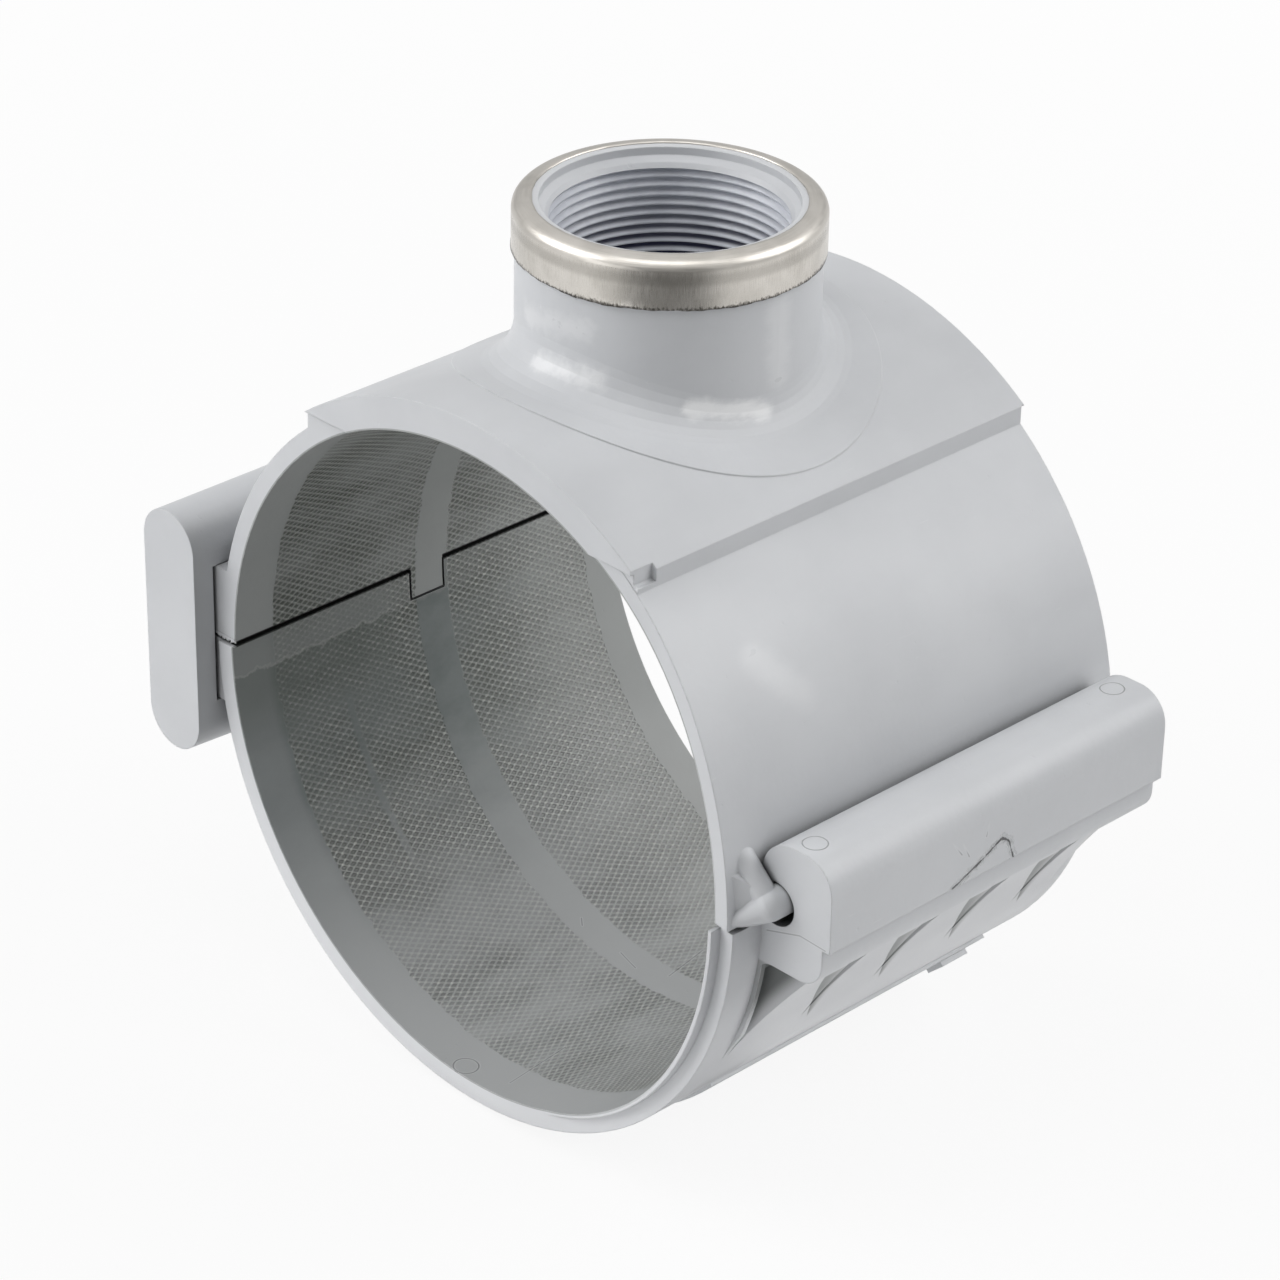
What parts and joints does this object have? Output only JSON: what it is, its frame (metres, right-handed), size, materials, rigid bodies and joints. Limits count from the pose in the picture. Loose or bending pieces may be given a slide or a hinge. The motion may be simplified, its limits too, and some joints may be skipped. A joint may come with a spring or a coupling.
{
  "type": "clamp saddle",
  "caption": "Hinged two-part pipe saddle with a threaded branch outlet, closed round the pipe by a slide-on wedge bar.",
  "frame": {"origin": "on the pipe axis, under the middle of the outlet", "axes": "+Y along the pipe away from the wedge's closed end, +Z along the outlet away from the pipe, +X towards the hinge"},
  "size_m": [0.2192, 0.1325, 0.2181],
  "materials": {
    "grey_pvc": "smooth satin moulding",
    "stainless": "brushed round the ring",
    "seal_rubber": "matte black"
  },
  "bodies": {
    "top": {"upper_half": "grey_pvc", "reinforcing_ring": "stainless", "seal": "seal_rubber"},
    "bottom": {"lower_half": "grey_pvc"},
    "wedge_bar": {"wedge": "grey_pvc"}
  },
  "joints": [
    {"name": "wedge_slide", "type": "slide", "parent": "top", "child": "wedge_bar", "axis": [0, -1, 0], "range_m": [0, 0.131]},
    {"name": "lower_hinge", "type": "hinge", "parent": "top", "child": "bottom", "pos_m": [0.0938, 0, 0.0068], "axis": [0, -1, 0], "range_deg": [0, 8]}
  ],
  "couplings": [
    {"joint": "lower_hinge", "follows": "wedge_slide", "rad_per_m": 0.25}
  ]
}
